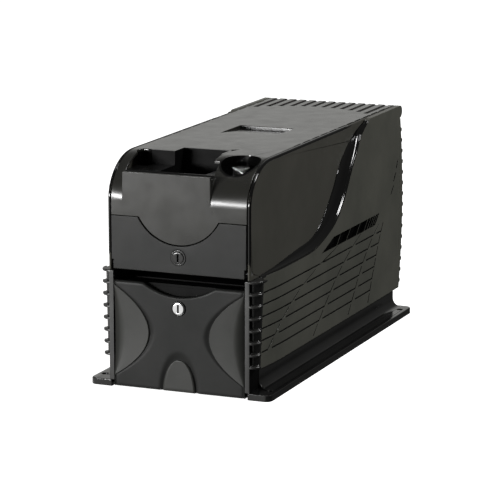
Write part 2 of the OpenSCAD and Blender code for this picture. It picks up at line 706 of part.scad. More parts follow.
// ---- Static transport ----
module deck() {
  color(steel) seat() block(-half_bay, half_bay, 40, body_d - 14, deck_z, deck_z + deck_t);
}
module frame_plate(x) {
  color(steel) seat() difference() {
    block(x, x + frame_t, 26, 90, deck_z + deck_t, frame_top);
    for (z = [low_z, high_z]) x_rod(x - 1, x + 3, drive_y, z, bush_r);
    x_rod(x - 1, x + 3, motor_y, low_z, 4);
    x_rod(x - 1, x + 3, gate_y, gate_z, 1.5 + run_fit);
    block(x - 1, x + 3, 20, path_y - 0.5, deck_z + deck_t + 15, frame_top + 1);
  }
}
module right_frame() { frame_plate(inlet_x + frame_in); }
module left_frame() { frame_plate(inlet_x - frame_in - frame_t); }
module rear_guide() {
  color([0.25, 0.26, 0.28]) seat() difference() {
    block(inlet_x - frame_in, inlet_x + frame_in, path_y + 0.4, path_y + 0.4 + head_t, head_z0, frame_top);
    for (z = [low_z, high_z], x = [-roller_x, roller_x])
      block(inlet_x + x - roller_w / 2 - 1, inlet_x + x + roller_w / 2 + 1, path_y, path_y + 3, z - 9, z + 9);
  }
}
module bushes() {
  color([0.72, 0.56, 0.25]) seat() for (z = [low_z, high_z], x = [inlet_x + frame_in, inlet_x - frame_in - frame_t])
    difference() {
      x_rod(x, x + frame_t, drive_y, z, bush_r);
      x_rod(x - 1, x + 3, drive_y, z, shaft_r + run_fit);
    }
}
module drive_belt() {
  r0 = pulley_r + 0.35;
  r1 = r0 + belt_t;
  color([0.07, 0.07, 0.07]) seat() slab(pulley_x + 1, pulley_x + pulley_w - 1) difference() {
    belt_loop(r1);
    belt_loop(r0);
  }
}
module belt_loop(r) {
  translate([drive_y - r, low_z]) square([2 * r, high_z - low_z]);
  for (z = [low_z, high_z]) translate([drive_y, z]) circle(r = r);
}
module motor() {
  x1 = inlet_x + frame_in;
  color([0.55, 0.56, 0.58]) seat() difference() {
    union() {
      x_rod(x1 - motor_l, x1, motor_y, low_z, motor_r);
      x_rod(x1 - motor_l - 4, x1 - motor_l, motor_y, low_z, 5);
    }
    x_rod(x1 - 20, x1 + 1, motor_y, low_z, 2 + run_fit);
  }
}
module toothed(teeth, w, bore) {
  r = teeth * gear_mod / 2;
  half_tip = 12 * gear_mod / r;
  half_root = 26 * gear_mod / r;
  linear_extrude(w) difference() {
    union() {
      circle(r = r - tooth_h);
      for (i = [0:teeth - 1]) rotate(360 * i / teeth) polygon([
        [(r - tooth_h - 0.2) * cos(half_root), -(r - tooth_h - 0.2) * sin(half_root)],
        [(r + tooth_h) * cos(half_tip), -(r + tooth_h) * sin(half_tip)],
        [(r + tooth_h) * cos(half_tip), (r + tooth_h) * sin(half_tip)],
        [(r - tooth_h - 0.2) * cos(half_root), (r - tooth_h - 0.2) * sin(half_root)]]);
    }
    circle(r = bore);
  }
}
module drive_gear() {
  color([0.85, 0.84, 0.8]) seat() translate([gear_x, drive_y, low_z]) rotate([90, 0, 90])
    toothed(gear_teeth, gear_w, shaft_r);
}
module motor_pinion() {
  color([0.8, 0.68, 0.35]) seat() translate([gear_x, motor_y, low_z]) rotate([90, 0, 90]) {
    rotate(180 / pinion_teeth) toothed(pinion_teeth, gear_w, 2);
    translate([0, 0, -16]) cylinder(h = 16 + gear_w, r = 2);
  }
}
module shaft_with(z, x1) {
  color(steel) seat() x_rod(inlet_x - frame_in - frame_t - 0.5, x1, drive_y, z, shaft_r);
}
module rollers(z) {
  color([0.12, 0.12, 0.12]) seat() for (x = [-roller_x, roller_x]) difference() {
    x_rod(inlet_x + x - roller_w / 2, inlet_x + x + roller_w / 2, drive_y, z, drive_r);
    x_rod(inlet_x + x - roller_w, inlet_x + x + roller_w, drive_y, z, shaft_r);
  }
}
module pulley(z) {
  color([0.3, 0.3, 0.3]) seat() difference() {
    union() {
      x_rod(pulley_x, pulley_x + pulley_w, drive_y, z, pulley_r);
      for (x = [pulley_x, pulley_x + pulley_w - 0.7]) x_rod(x, x + 0.7, drive_y, z, pulley_r + 1.2);
    }
    x_rod(pulley_x - 1, pulley_x + pulley_w + 1, drive_y, z, shaft_r);
  }
}
module drive_shaft() { shaft_with(low_z, pulley_x + pulley_w + 1); }
module upper_shaft() { shaft_with(high_z, pulley_x + pulley_w + 1); }
module drive_rollers() { rollers(low_z); }
module upper_rollers() { rollers(high_z); }
module drive_pulley() { pulley(low_z); }
module upper_pulley() { pulley(high_z); }
gate_y = 34;
gate_z = door_z - 1;
module diverter() {
  color([0.3, 0.3, 0.32]) seat() {
    x_rod(inlet_x - frame_in - 1, inlet_x + frame_in + 1, gate_y, gate_z, 1.5);
    slab(inlet_x - inlet_w / 2, inlet_x + inlet_w / 2) polygon([[gate_y, gate_z + 1.2], [21, gate_z + 0.3],
      [21, gate_z - 0.3], [gate_y, gate_z - 1.2]]);
  }
}
module sensor_board() {
  color([0.05, 0.3, 0.12]) seat()
    block(inlet_x - 16, inlet_x + 16, path_y + 2.0, path_y + 3.6, low_z + 10, high_z - 10);
}
module main_board() {
  z = deck_z + deck_t;
  color([0.05, 0.3, 0.12]) seat() {
    block(-52, 52, 130, body_d - 40, z + 5, z + 6.6);
    for (x = [-48, 48], y = [135, body_d - 45]) translate([x, y, z]) cylinder(h = 5, r = 3);
    for (i = [0:3]) block(-44 + 24 * i, -28 + 24 * i, 170 + 12 * i, 190 + 12 * i, z + 6.6, z + 9);
  }
}
supply_top = deck_z - 24;
module power_supply() {
  color(steel) seat() difference() {
    block(-half_bay + 6, half_bay - 6, cash_d + 8, flange_d - 14, tray_t, supply_top);
    for (i = [0:6])
      block(-half_bay, half_bay, cash_d + 20 + 10 * i, cash_d + 24 + 10 * i, supply_top - 14, supply_top - 8);
  }
}
module cash_runners() {
  color(steel) seat() both_sides() block(half_box + 0.5, half_bay, 40, flange_d - 20, 24, 30);
}

// ---- Cash box ----
// Channel of the cash box: floor and side walls
module cash_shell() {
  color([0.13, 0.13, 0.13]) seat() difference() {
    block(-half_box, half_box, cash_front_t, cash_d, box_z, box_top);
    block(cash_wall - half_box, half_box - cash_wall, cash_front_t - 1, cash_d + 1, box_z + cash_wall, box_top + 1);
  }
}
// End walls of the cash box
module cash_ends() {
  color([0.13, 0.13, 0.13]) seat() difference() {
    for (y = [cash_front_t, cash_d - cash_wall])
      block(cash_wall - half_box, half_box - cash_wall, y, y + cash_wall, box_z + cash_wall, box_top);
    y_rod(0, 0, cash_front_t + cash_wall + 1, cash_lock_z, key_r);
  }
}
// Ledges that hold the stack down around the stacker plate, and the partition behind the stack
module stack_ledges() {
  color([0.13, 0.13, 0.13]) seat() {
    both_sides() block(half_box - cash_wall - 14, half_box - cash_wall, stack_y0, stack_y1, lip_z - 2, lip_z);
    block(-half_box + cash_wall, half_box - cash_wall, stack_y1 + 3, stack_y1 + 5, box_z + cash_wall, lip_z);
  }
}
cash_front_t = 7;
scallop_r = 59.5;
scallop_drop = 10.6;
lens_depth = 1;
lens_mid = cash_h - 43.9;
lens_h = lens_mid - 14;
function lens_x(z) = 28.5 + 0.0203 * pow(z - lens_mid, 2);
module cash_front() {
  color(plastic) seat() difference() {
    block(-half_cash, half_cash, 0, cash_front_t, cash_lift, cash_h);
    y_rod(0, -1, cash_front_t + 1, cash_h - scallop_drop + scallop_r, scallop_r);
    // Lens-shaped side fields and the arch at the bottom, cut a little deeper
    both_sides() translate([0, lens_depth, 0]) rotate([90, 0, 0]) linear_extrude(5) polygon(concat(
      [for (i = [0:16]) let (z = lens_mid - lens_h + 2 * lens_h * i / 16) [lens_x(z), z]],
      [[half_cash - 1.5, lens_mid + lens_h], [half_cash - 1.5, lens_mid - lens_h]]));
    translate([0, lens_depth, 0]) rotate([90, 0, 0]) linear_extrude(5)
      polygon(arc(0, 0, 15, 29, 0, 180, 24));
    y_rod(0, -1, 12, cash_lock_z, key_r - 1 + run_fit);
  }
}
cash_lock_z = cash_h - 20.1;
// Lid in two parts with the note slot between them
note_y0 = 19;
note_y1 = 26;
module cash_lid() {
  color([0.13, 0.13, 0.13]) seat() {
    block(-half_box, half_box, cash_front_t, note_y0, box_top, cash_h - 0.7);
    block(-half_box, half_box, note_y1, cash_d, box_top, cash_h - 0.7);
  }
}
module cash_lock() {
  color([0.75, 0.75, 0.78]) seat() key_lock(cash_lock_z, 12);
}
guide_pts = [[0, 60], [0, 200]];
module stacker_guides() {
  color(steel) seat() for (p = guide_pts)
    translate([p[0], p[1], lip_z - 8]) cylinder(h = box_top - lip_z + 8, r = 2.5);
}
module stacker_plate() {
  z = box_top - 8.5;
  color([0.6, 0.61, 0.63]) seat() difference() {
    union() {
      block(-(half_box - cash_wall - 16), half_box - cash_wall - 16, stack_y0 + 3, stack_y1 - 3, z, z + 2.5);
      for (p = guide_pts) translate([p[0], p[1], z]) cylinder(h = 6, r = 5);
    }
    for (p = guide_pts) translate([p[0], p[1], z - 1]) cylinder(h = 12, r = 2.5 + run_fit);
  }
}
module pressure_plate() {
  color([0.6, 0.61, 0.63]) seat()
    block(-(half_box - cash_wall - 1), half_box - cash_wall - 1, stack_y0 - 5, stack_y1, press_z - 2.5, press_z);
}
module pressure_springs() {
  color(steel) seat() for (x = [-30, 30], y = [80, 180]) translate([x, y, box_z + cash_wall]) difference() {
    cylinder(h = press_z - 2.5 - box_z - cash_wall, r = 6);
    translate([0, 0, -1]) cylinder(h = press_z, r = 4.6);
  }
}

base_tray();
left_post();
right_post();
left_panel();
right_panel();
left_shell();
right_shell();
left_cove();
right_cove();
rear_cover();
rear_ribs();
cover_bosses();
rear_connector();
rubber_feet();
deck();
left_frame();
right_frame();
rear_guide();
bushes();
drive_belt();
motor();
main_board();
power_supply();
sensor_board();
cover_screws();
hinge_pin();
door_pins();
hood();
hood_rails();
hood_tray();
lock_well();
well_ring();
upper_head();
hood_sensor();
pinch_springs();
lock_knob();
front_door();
door_bezel();
door_lock();
drive_shaft();
drive_rollers();
drive_gear();
drive_pulley();
upper_shaft();
upper_rollers();
upper_pulley();
motor_pinion();
lower_pinch();
upper_pinch();
diverter();
cash_shell();
cash_ends();
stack_ledges();
cash_front();
cash_lid();
cash_lock();
stacker_plate();
stacker_guides();
pressure_plate();
pressure_springs();
cash_runners();
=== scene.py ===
"""Looks of a bill validator: materials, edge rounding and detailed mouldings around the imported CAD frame."""
import json
import math

import bmesh
import bpy
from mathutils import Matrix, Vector


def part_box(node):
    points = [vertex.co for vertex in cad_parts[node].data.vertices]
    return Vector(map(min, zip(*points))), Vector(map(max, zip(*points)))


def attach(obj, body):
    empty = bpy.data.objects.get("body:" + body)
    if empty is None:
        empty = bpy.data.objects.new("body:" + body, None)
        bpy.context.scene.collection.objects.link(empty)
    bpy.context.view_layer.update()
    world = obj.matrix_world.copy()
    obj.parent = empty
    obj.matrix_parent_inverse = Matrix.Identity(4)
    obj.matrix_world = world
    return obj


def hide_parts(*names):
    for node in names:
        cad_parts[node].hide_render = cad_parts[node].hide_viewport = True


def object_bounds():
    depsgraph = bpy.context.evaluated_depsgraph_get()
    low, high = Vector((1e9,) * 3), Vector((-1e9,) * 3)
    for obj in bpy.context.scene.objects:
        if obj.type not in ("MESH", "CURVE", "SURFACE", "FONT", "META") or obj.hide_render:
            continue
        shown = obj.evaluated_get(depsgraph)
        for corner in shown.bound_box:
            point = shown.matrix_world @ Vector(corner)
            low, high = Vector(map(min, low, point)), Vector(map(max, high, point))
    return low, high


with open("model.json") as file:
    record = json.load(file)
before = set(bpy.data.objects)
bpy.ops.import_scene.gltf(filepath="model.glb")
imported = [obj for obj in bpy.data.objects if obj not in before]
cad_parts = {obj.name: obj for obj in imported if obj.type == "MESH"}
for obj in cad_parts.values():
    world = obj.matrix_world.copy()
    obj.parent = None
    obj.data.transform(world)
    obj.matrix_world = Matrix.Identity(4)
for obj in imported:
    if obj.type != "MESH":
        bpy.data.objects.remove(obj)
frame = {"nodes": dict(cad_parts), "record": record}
cad_low, cad_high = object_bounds()
nodes = frame["nodes"]
MM = 0.001

# ---------------------------------------------------------------- places taken from the frame
FRONT_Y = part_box("left_post")[0].y
HALF_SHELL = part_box("right_shell")[1].x
HALF_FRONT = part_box("right_panel")[1].x
HALF_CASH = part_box("cash_front")[1].x
CASE_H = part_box("hood")[1].z
CASH_LOW, CASH_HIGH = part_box("cash_front")
SHELL_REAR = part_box("right_shell")[1].y

# ---------------------------------------------------------------- places the finishes go by, in millimetres
# Slots, vents and grooves of the side shells lie between these heights, clear of the rear edge
SLOT_LOW, SLOT_HIGH, SLOT_REAR = 24.5, 168.0, 9.0
# The shell's skin starts this deep, this proud of the panel, and swells to its full thickness
SKIN_START, SKIN_STEP, SKIN_SWELL, SKIN_RUN = 20.0, 1.8, 2.7, 50.0
GROOVE_DEEP = 0.5
# Floor of the note recess below the top, and the rear edge of the bar in front of it
TRAY_DROP, BAR_REAR = 12.7, 10.5
COLUMN_FRONT = 5.2


# ---------------------------------------------------------------- materials
def new_material(name, color, roughness, ior=1.5, metallic=0.0):
    """A Principled material; returns it with its node tree's helpers."""
    mat = bpy.data.materials.new(name)
    mat.use_nodes = True
    shader = mat.node_tree.nodes["Principled BSDF"]
    shader.inputs["Base Color"].default_value = (*color, 1)
    shader.inputs["Roughness"].default_value = roughness
    shader.inputs["IOR"].default_value = ior
    shader.inputs["Metallic"].default_value = metallic
    return mat, mat.node_tree, shader


def object_noise(tree, scale, detail=2.0, rough=0.5):
    """3-D noise over the object's own coordinates, with features per metre given by scale."""
    coords = tree.nodes.new("ShaderNodeTexCoord")
    noise = tree.nodes.new("ShaderNodeTexNoise")
    noise.inputs["Scale"].default_value = scale
    noise.inputs["Detail"].default_value = detail
    noise.inputs["Roughness"].default_value = rough
    tree.links.new(coords.outputs["Object"], noise.inputs["Vector"])
    return noise


def vary(tree, source, low, high, socket):
    """Maps a noise's middle range to low..high on a socket."""
    remap = tree.nodes.new("ShaderNodeMapRange")
    remap.inputs["From Min"].default_value = 0.3
    remap.inputs["From Max"].default_value = 0.7
    remap.inputs["To Min"].default_value = low
    remap.inputs["To Max"].default_value = high
    tree.links.new(source.outputs["Fac"], remap.inputs["Value"])
    tree.links.new(remap.outputs["Result"], socket)


def tint(tree, source, dark, light, socket):
    """Colour that drifts between dark and light with a noise."""
    ramp = tree.nodes.new("ShaderNodeValToRGB")
    ramp.color_ramp.elements[0].position = 0.35
    ramp.color_ramp.elements[1].position = 0.65
    ramp.color_ramp.elements[0].color = (*dark, 1)
    ramp.color_ramp.elements[1].color = (*light, 1)
    tree.links.new(source.outputs["Fac"], ramp.inputs["Fac"])
    tree.links.new(ramp.outputs["Color"], socket)


def grain(tree, shader, scale, strength, distance=0.0001):
    """Moulded texture as a bump."""
    noise = object_noise(tree, scale, 3.0, 0.6)
    bump = tree.nodes.new("ShaderNodeBump")
    bump.inputs["Strength"].default_value = strength
    bump.inputs["Distance"].default_value = distance
    tree.links.new(noise.outputs["Fac"], bump.inputs["Height"])
    tree.links.new(bump.outputs["Normal"], shader.inputs["Normal"])


def plastic(name, dark, light, rough_low, rough_high, grain_scale, grain_strength, ior=1.5):
    """Moulded plastic with slow colour drift, uneven gloss and a fine grain."""
    mat, tree, shader = new_material(name, dark, rough_low, ior)
    cloud = object_noise(tree, 22.0, 4.0, 0.55)
    tint(tree, cloud, dark, light, shader.inputs["Base Color"])
    smear = object_noise(tree, 60.0, 5.0, 0.6)
    vary(tree, smear, rough_low, rough_high, shader.inputs["Roughness"])
    if grain_strength > 0:
        grain(tree, shader, grain_scale, grain_strength)
    return mat


def metal(name, color, rough_low, rough_high, grain_scale=900.0, grain_strength=0.06):
    """Bare metal with uneven polish."""
    mat, tree, shader = new_material(name, color, rough_low, metallic=1.0)
    smear = object_noise(tree, 180.0, 4.0, 0.6)
    vary(tree, smear, rough_low, rough_high, shader.inputs["Roughness"])
    darker = tuple(c * 0.86 for c in color)
    tint(tree, smear, darker, color, shader.inputs["Base Color"])
    grain(tree, shader, grain_scale, grain_strength, 0.00005)
    return mat


HOOD_BLACK = plastic("hood_black", (0.014, 0.014, 0.0125), (0.019, 0.0185, 0.016), 0.21, 0.26, 2600, 0.12)
FRONT_GRAIN = plastic("front_grain", (0.010, 0.0105, 0.010), (0.015, 0.015, 0.0145), 0.42, 0.52, 1500,
    0.7, 1.25)
DOOR_GRAIN = plastic("door_grain", (0.010, 0.0105, 0.010), (0.016, 0.016, 0.0155), 0.42, 0.52, 1500,
    0.7, 1.29)
# Side fields and arch of the cash box front: the lighter base colour is painted light, as if these fields
# caught more light; the smoother, finer grain is the moulding's own
FIELD_LIT_BLACK = plastic("field_painted_light", (0.020, 0.021, 0.019), (0.027, 0.027, 0.025), 0.36, 0.44, 1800,
    0.35, 1.36)
SHELL_BLACK = plastic("shell_black", (0.072, 0.073, 0.061), (0.092, 0.092, 0.077), 0.34, 0.42, 2600, 0.2)
PANEL_BLACK = plastic("panel_black", (0.055, 0.054, 0.045), (0.066, 0.064, 0.054), 0.30, 0.38, 1800, 0.08)
POST_BLACK = plastic("post_black", (0.016, 0.016, 0.016), (0.022, 0.022, 0.021), 0.28, 0.36, 2600, 0.15)
TRIM_GLOSS = plastic("trim_gloss", (0.002, 0.002, 0.002), (0.003, 0.003, 0.003), 0.06, 0.11, 1800, 0.0)
BASE_BLACK = plastic("base_black", (0.006, 0.006, 0.006), (0.009, 0.009, 0.009), 0.12, 0.2, 2400, 0.05)
# Near-black painted shade: slot walls, groove floors, rib gaps, the note pocket, the sheet behind the slots
# and the inner parts take this colour so they read as deep shade
SHADE_BLACK = plastic("painted_shade_black", (0.0008, 0.0008, 0.0008), (0.0016, 0.0016, 0.0016), 0.5, 0.6, 2000,
    0.2, 1.18)
LOCK_BLACK = plastic("lock_black", (0.004, 0.004, 0.004), (0.006, 0.006, 0.006), 0.18, 0.26, 2000, 0.0)
GUIDE_PLASTIC = plastic("guide_plastic", (0.03, 0.03, 0.035), (0.04, 0.04, 0.045), 0.4, 0.5, 2000, 0.2)
RUBBER = plastic("roller_rubber", (0.02, 0.02, 0.02), (0.03, 0.03, 0.03), 0.65, 0.8, 1500, 0.4)
ACETAL = plastic("gear_acetal", (0.62, 0.60, 0.52), (0.70, 0.68, 0.60), 0.35, 0.45, 1500, 0.1)
BOARD = plastic("board_green", (0.01, 0.09, 0.03), (0.015, 0.13, 0.045), 0.25, 0.4, 900, 0.2)
CHROME = metal("lock_chrome", (0.90, 0.90, 0.92), 0.08, 0.16)
STEEL = metal("shaft_steel", (0.60, 0.60, 0.62), 0.22, 0.34)
ZINC = metal("zinc_sheet", (0.52, 0.53, 0.55), 0.32, 0.48, 400.0, 0.15)
ALUMINIUM = metal("plate_aluminium", (0.68, 0.69, 0.71), 0.3, 0.42, 400.0, 0.12)
BRASS = metal("bush_brass", (0.66, 0.48, 0.20), 0.2, 0.34)

FINISH = {
    "base_black": BASE_BLACK, "case_black": SHELL_BLACK, "panel_gloss": PANEL_BLACK,
    "trim_gloss": TRIM_GLOSS, "front_grain": FRONT_GRAIN, "chrome": CHROME, "lock_ring": LOCK_BLACK,
    # The inner plastic slot takes the near-black painted shade
    "inner_plastic": SHADE_BLACK, "zinc_sheet": ZINC, "shaft_steel": STEEL,
    "guide_plastic": GUIDE_PLASTIC, "roller_rubber": RUBBER, "gear_plastic": ACETAL,
    "brass": BRASS, "board": BOARD, "plate_alu": ALUMINIUM,
}
# Nodes whose finish differs from their slot's usual one
OWN_FINISH = {
    "hood": HOOD_BLACK, "front_door": DOOR_GRAIN, "door_lock": LOCK_BLACK,
    # The hood tray, cash lid, rear guide, upper head, deck and frames take the near-black painted shade
    "left_post": POST_BLACK, "right_post": POST_BLACK, "hood_tray": SHADE_BLACK, "cash_lid": SHADE_BLACK,
    "rear_guide": SHADE_BLACK, "upper_head": SHADE_BLACK, "deck": SHADE_BLACK,
    "left_frame": SHADE_BLACK, "right_frame": SHADE_BLACK,
}
# Width of the rounding along a node's edges, in millimetres
EDGE = {
    "hood": 0.5, "base_tray": 0.7, "left_post": 0.7, "right_post": 0.7, "left_shell": 0.35,
    "right_shell": 0.35, "left_panel": 1.1, "right_panel": 1.1, "rear_cover": 0.5,
    "front_door": 0.5, "lock_knob": 0.4, "door_lock": 0.3, "cash_lock": 0.4, "door_bezel": 0.3,
}
EDGE_PLAIN = 0.12


def paint(obj, mat):
    obj.data.materials.clear()
    obj.data.materials.append(mat)


def soften(obj, width, angle=32.0, clamp=False):
    """Rounds a CAD node's edges with modifiers only."""
    for poly in obj.data.polygons:
        poly.use_smooth = True
    weld = obj.modifiers.new("weld", "WELD")
    weld.merge_threshold = 1e-6
    bevel = obj.modifiers.new("edge_round", "BEVEL")
    bevel.width = width * MM
    bevel.segments = 2
    bevel.limit_method = "ANGLE"
    bevel.angle_limit = math.radians(angle)
    bevel.use_clamp_overlap = clamp
    even = obj.modifiers.new("flat_faces", "WEIGHTED_NORMAL")
    even.mode = "FACE_AREA"
    even.weight = 60
    even.keep_sharp = True


def repaint(obj, mat, chosen):
    """Gives the polygons of a CAD node that pass a test a second finish."""
    obj.data.materials.append(mat)
    index = len(obj.data.materials) - 1
    for poly in obj.data.polygons:
        if chosen(poly.center, poly.normal):
            poly.material_index = index


def slot_wall_shade(c, n):
    """Walls of the slots, vents and grooves of a side shell, and the floors of its grooves: given the
    near-black painted shade.
    """
    inside = SLOT_LOW * MM < c.z < SLOT_HIGH * MM and c.y < SHELL_REAR - SLOT_REAR * MM
    run = ((c.y - FRONT_Y) / MM - SKIN_START) / SKIN_RUN
    swell = math.sin(math.radians(90 * min(1.0, max(0.0, run))))
    floor_x = HALF_FRONT + (SKIN_STEP + SKIN_SWELL * swell - GROOVE_DEEP) * MM
    groove_floor = abs(abs(c.x) - floor_x) < 0.2 * MM and abs(n.x) > 0.9
    return inside and (abs(n.x) < 0.3 or groove_floor)


def rib_gap_shade(c, n):
    """Side wall of a front post, seen between its ribs, given the near-black painted shade."""
    return abs(n.x) > 0.9 and abs(abs(c.x) - HALF_FRONT) < 0.2 * MM


def column_shade(c, n):
    """Tapered column behind the ribs of a front post, given the darker base black as painted shade behind the
    ribs.
    """
    return abs(c.x) > HALF_FRONT + 0.3 * MM and c.y > FRONT_Y + COLUMN_FRONT * MM and abs(n.z) < 0.3


def on_bar(c, n):
    """Top of the bar behind the hood's flat front plate."""
    return n.z > 0.7 and c.z > CASE_H - TRAY_DROP * MM and c.y < FRONT_Y + BAR_REAR * MM


def on_tray(c, n):
    """Floor of the note recess."""
    return n.z > 0.7 and c.z > CASE_H - (TRAY_DROP + 1.2) * MM and c.y >= FRONT_Y + BAR_REAR * MM


# Second finishes of a node, each with the test its polygons have to pass: near-black painted shade in slots
# and between post ribs, darker painted shade on the post columns, and the bar and floor of the hood tray
# lifted out of the painted shade
SECOND_FINISH = {
    "left_shell": [(SHADE_BLACK, slot_wall_shade)], "right_shell": [(SHADE_BLACK, slot_wall_shade)],
    "left_post": [(SHADE_BLACK, rib_gap_shade), (BASE_BLACK, column_shade)],
    "right_post": [(SHADE_BLACK, rib_gap_shade), (BASE_BLACK, column_shade)],
    "hood_tray": [(HOOD_BLACK, on_bar), (BASE_BLACK, on_tray)],
}


def dress_frame():
    """Gives every CAD node its finish and rounded edges."""
    slot_of = {s["node"]: s["material_slot"] for s in frame["record"]["subparts"]}
    for name, obj in nodes.items():
        paint(obj, OWN_FINISH.get(name, FINISH[slot_of[name]]))
        for mat, chosen in SECOND_FINISH.get(name, []):
            repaint(obj, mat, chosen)
        soften(obj, EDGE.get(name, EDGE_PLAIN), clamp=name not in EDGE)


dress_frame()


# ---------------------------------------------------------------- moulded pieces built here
def shaped(name, verts, faces, mat, body, smooth=True):
    """A mesh piece in metres from millimetre points given with the front face at y = 0."""
    mesh = bpy.data.meshes.new(name)
    mesh.from_pydata([(x * MM, FRONT_Y + y * MM, z * MM) for x, y, z in verts], [], faces)
    mesh.validate()
    obj = bpy.data.objects.new(name, mesh)
    bpy.context.scene.collection.objects.link(obj)
    tidy = bmesh.new()
    tidy.from_mesh(mesh)
    bmesh.ops.recalc_face_normals(tidy, faces=tidy.faces)
    tidy.to_mesh(mesh)
    tidy.free()
    for poly in mesh.polygons:
        poly.use_smooth = smooth
    paint(obj, mat)
    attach(obj, body)
    return obj


def sided(name, side):
    """The name of the piece on the right (side 1) or on the left (side -1)."""
    return ("right_" if side > 0 else "left_") + name


def grid_faces(rows, cols):
    return [(r * cols + c, r * cols + c + 1, (r + 1) * cols + c + 1, (r + 1) * cols + c)
        for r in range(rows - 1) for c in range(cols - 1)]


def ease(t):
    t = max(0.0, min(1.0, t))
    return t * t * (3 - 2 * t)


def crowd(count):
    """Steps from 0 to 1 that crowd towards both ends."""
    return [0.5 - 0.5 * math.cos(math.pi * i / count) for i in range(count + 1)]


# The cash box front: two side fields bounded by parabolas, and an elliptic arch at the foot
CASH_LOCK_Z = 74.8
FIELD_WAIST, FIELD_CURVE, FIELD_MID, FIELD_TILT = 28.5, 0.0203, 51.0, 0.03
ARCH_W, ARCH_H, ARCH_LAST = 15.0, 29.0, 28.9
SCALLOP_R, SCALLOP_Z = 59.5, 143.8
PROUD, DIP = 0.25, 1.5
CASH_FRONT_BACK = 7.0
EDGE_R = 0.7
# Below this height the rows are level; above it they bend to follow the scallop
BEND_Z = 74.0


def lens_edge(z):
    return min(FIELD_WAIST + FIELD_CURVE * (z - FIELD_MID) ** 2, HALF_CASH / MM - 0.6)


def arch_edge(z):
    return max(ARCH_W * math.sqrt(max(0.0, 1 - (z / ARCH_H) ** 2)), 0.25)


def front_depth(x, z):
    """Depth of the raised X between the side fields and the arch: it dips softly towards them."""
    x = abs(x)
    fade = max(0.15, 1 - abs(z - FIELD_MID) / 44)
    to_lens = (lens_edge(z) - x) / (1.6 + 4.6 * fade)
    to_arch = (math.hypot(x / ARCH_W, z / ARCH_H) - 1) * ARCH_W / 4.2
    dip = max(1 - ease(to_lens), 1 - ease(to_arch) if to_arch > 0 else 0.0)
    return PROUD + DIP * dip * (0.35 + 0.65 * fade if to_lens < 1 else 1.0)


def cash_front_row(z, half):
    """Points across the cash box front at a height, with their depths."""
    arch, lens = arch_edge(z), lens_edge(z)
    flat = 0.0 if z < ARCH_LAST else None
    inner = [(arch * t, flat) for t in (0.0, 0.5, 0.85, 1.0)]
    middle = [(arch + 0.02 + (lens - arch - 0.04) * t, None) for t in crowd(26)]
    edge = lens + 0.25
    outer = [lens, edge] + [edge + (half - edge) * t for t in (0.3, 0.65, 1.0)]
    right = inner + middle + [(x, FIELD_TILT * (x - lens)) for x in outer]
    both = [(-x, d) for x, d in reversed(right[1:])] + right
    return [(x, front_depth(x, z) if d is None else d, z) for x, d in both]


def build_cash_front():
    """Relief panel that stands for the cash box front."""
    half, low, high = HALF_CASH / MM, CASH_LOW.z / MM, CASH_HIGH.z / MM
    heights = [low + (high - low) * i / 60 for i in range(61)]
    rows = [cash_front_row(z, half) for z in sorted(set(heights + [27.4, 28.0, 28.5, 28.9, 29.2, 29.8]))]
    cols = len(rows[0])
    verts = []
    for x, y, z in (point for row in rows for point in row):
        top = high
        if abs(x) < SCALLOP_R - 0.5:
            top = min(high, SCALLOP_Z - math.sqrt(max(0.0, SCALLOP_R ** 2 - x * x)))
        if z > BEND_Z:
            z = BEND_Z + (z - BEND_Z) * (top - BEND_Z) / (high - BEND_Z)
        near = min(1.0, min(half - abs(x), z - low, top - z) / EDGE_R)
        y += EDGE_R * (1 - math.sqrt(max(0.0, 1 - (1 - near) ** 2)))
        verts.append((x, y, z))
    faces = grid_faces(len(rows), cols)
    back, last = len(verts), len(rows) - 1
    rim = ([c for c in range(cols)] + [r * cols + cols - 1 for r in range(1, last + 1)]
        + [last * cols + c for c in range(cols - 2, -1, -1)] + [r * cols for r in range(last - 1, 0, -1)])
    for i, index in enumerate(rim):
        after = (i + 1) % len(rim)
        verts.append((verts[index][0], CASH_FRONT_BACK, verts[index][2]))
        faces.append((index, rim[after], back + after, back + i))
    faces.append(tuple(range(back, back + len(rim))))
    panel = shaped("cash_front_panel", verts, faces, FRONT_GRAIN, "cash_box")
    # The side fields and the arch take the lighter field finish, whose lighter colour is painted light
    panel.data.materials.append(FIELD_LIT_BLACK)
    for poly in panel.data.polygons:
        c = poly.center
        x, z = abs(c.x) / MM, c.z / MM
        in_field = x > lens_edge(z) or x < arch_edge(z) and z < ARCH_LAST
        if in_field and c.y < FRONT_Y + (CASH_FRONT_BACK - 1) * MM:
            poly.material_index = 1
    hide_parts("cash_front")
    return panel


def catmull(points, steps):
    """A smooth curve through the points."""
    out = []
    for i in range(len(points) - 1):
        p0, p1, p2, p3 = (Vector(points[max(0, min(len(points) - 1, i + k))]) for k in (-1, 0, 1, 2))
        for s in range(steps):
            t = s / steps
            out.append(0.5 * (2 * p1 + (p2 - p0) * t + (2 * p0 - 5 * p1 + 4 * p2 - p3) * t * t
                + (3 * p1 - p0 - 3 * p2 + p3) * t ** 3))
    out.append(Vector(points[-1]))
    return out


# The swept rim of the raised shell and the edge on the smooth panel, as depth and height
RIM = [(279, 201.6), (275.7, 199.2), (259.6, 190.2), (247, 176.2), (234.5, 162.4), (219, 142.4),
    (203.7, 128), (190, 119.5), (173, 112.9), (154.7, 107.8), (136.7, 104.6), (110, 103.6), (70, 103.5),
    (36, 103.5), (21, 103.5)]
SWEPT = [(283, 202.2), (280, 200.6), (264, 197), (245, 190), (226, 179), (210, 166), (198, 151), (183, 137),
    (159, 120), (138, 113.6), (111, 111.5), (77, 108.4), (55, 106.4), (36, 105.4), (21, 104.9)]


# How far the cove's foot and its rim lie from the panel's and the shell's skin
COVE_FOOT, COVE_UNDER = 0.05, 0.3
BEAD_R, BEAD_RISE = 1.1, 0.62


